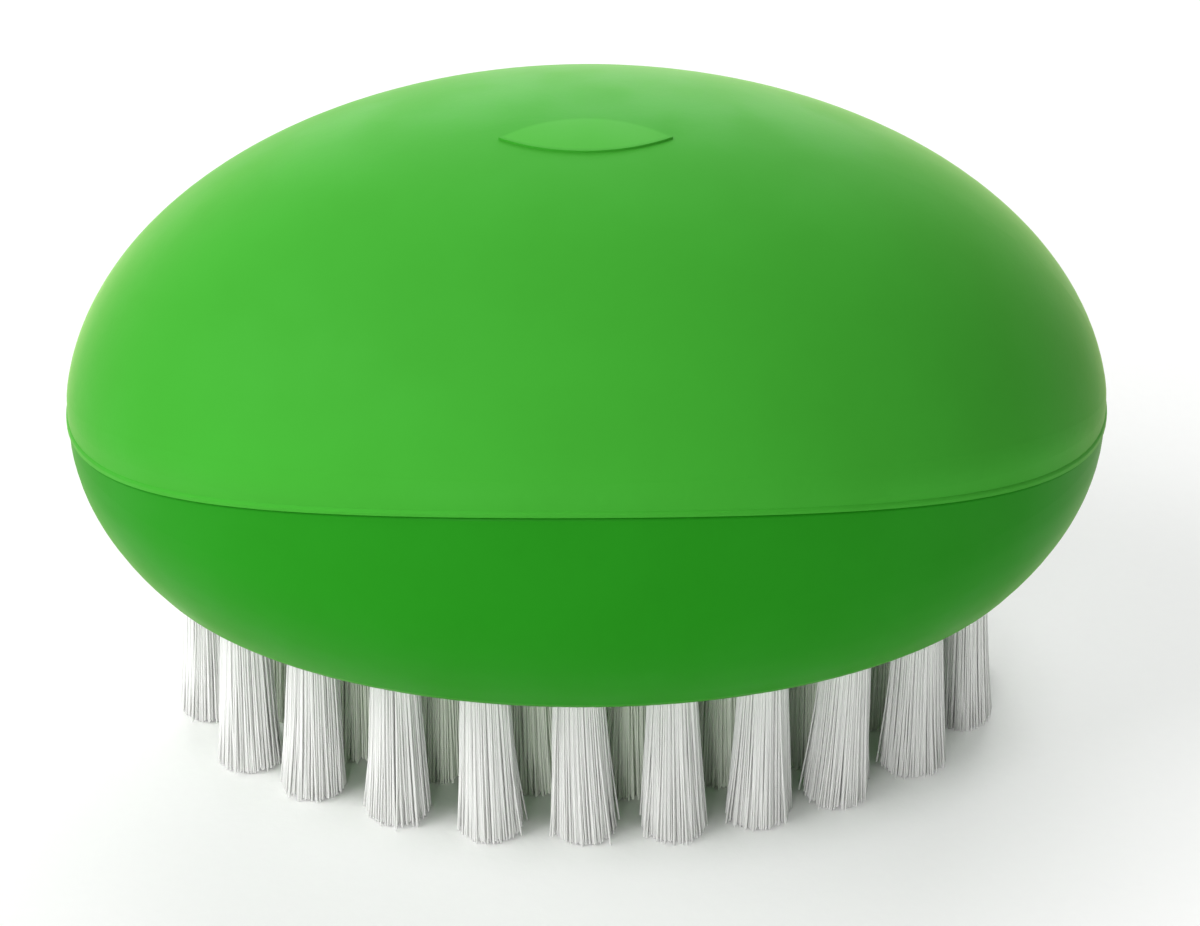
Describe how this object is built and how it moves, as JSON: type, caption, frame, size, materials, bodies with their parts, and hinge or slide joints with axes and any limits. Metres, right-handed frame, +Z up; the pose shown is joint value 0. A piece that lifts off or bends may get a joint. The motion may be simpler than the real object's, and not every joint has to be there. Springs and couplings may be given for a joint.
{
  "type": "vegetable brush",
  "caption": "Palm-held vegetable brush with a soft domed oval grip over a rounded base and a field of upright nylon bristle tufts set in a plate underneath.",
  "frame": {"origin": "on the floor under the middle of the brush, in the plane of the bristle tips", "axes": "+X along the brush's long side, +Z up through the top of the grip, +Y across the brush away from the picture's viewer"},
  "size_m": [0.0948, 0.065, 0.0615],
  "materials": {
    "soft_grip": "matte soft-touch green",
    "base_plastic": "satin green",
    "plate_plastic": "satin green",
    "core_plastic": "plain moulded green",
    "bristle": "translucent white nylon",
    "anchor_wire": "plain flat wire"
  },
  "bodies": {
    "root": {"base_shell": "base_plastic", "centre_tuft_01": "bristle", "centre_tuft_02": "bristle", "centre_tuft_03": "bristle", "grip_core": "core_plastic", "grip_cover": "soft_grip", "inner_tuft_01": "bristle", "inner_tuft_02": "bristle", "inner_tuft_03": "bristle", "inner_tuft_04": "bristle", "inner_tuft_05": "bristle", "inner_tuft_06": "bristle", "inner_tuft_07": "bristle", "inner_tuft_08": "bristle", "inner_tuft_09": "bristle", "inner_tuft_10": "bristle", "inner_tuft_11": "bristle", "middle_tuft_01": "bristle", "middle_tuft_02": "bristle", "middle_tuft_03": "bristle", "middle_tuft_04": "bristle", "middle_tuft_05": "bristle", "middle_tuft_06": "bristle", "middle_tuft_07": "bristle", "middle_tuft_08": "bristle", "middle_tuft_09": "bristle", "middle_tuft_10": "bristle", "middle_tuft_11": "bristle", "middle_tuft_12": "bristle", "middle_tuft_13": "bristle", "middle_tuft_14": "bristle", "middle_tuft_15": "bristle", "middle_tuft_16": "bristle", "outer_tuft_01": "bristle", "outer_tuft_02": "bristle", "outer_tuft_03": "bristle", "outer_tuft_04": "bristle", "outer_tuft_05": "bristle", "outer_tuft_06": "bristle", "outer_tuft_07": "bristle", "outer_tuft_08": "bristle", "outer_tuft_09": "bristle", "outer_tuft_10": "bristle", "outer_tuft_11": "bristle", "outer_tuft_12": "bristle", "outer_tuft_13": "bristle", "outer_tuft_14": "bristle", "outer_tuft_15": "bristle", "outer_tuft_16": "bristle", "outer_tuft_17": "bristle", "outer_tuft_18": "bristle", "outer_tuft_19": "bristle", "outer_tuft_20": "bristle", "outer_tuft_21": "bristle", "outer_tuft_22": "bristle", "tuft_anchors": "anchor_wire", "tuft_plate": "plate_plastic"}
  },
  "joints": []
}
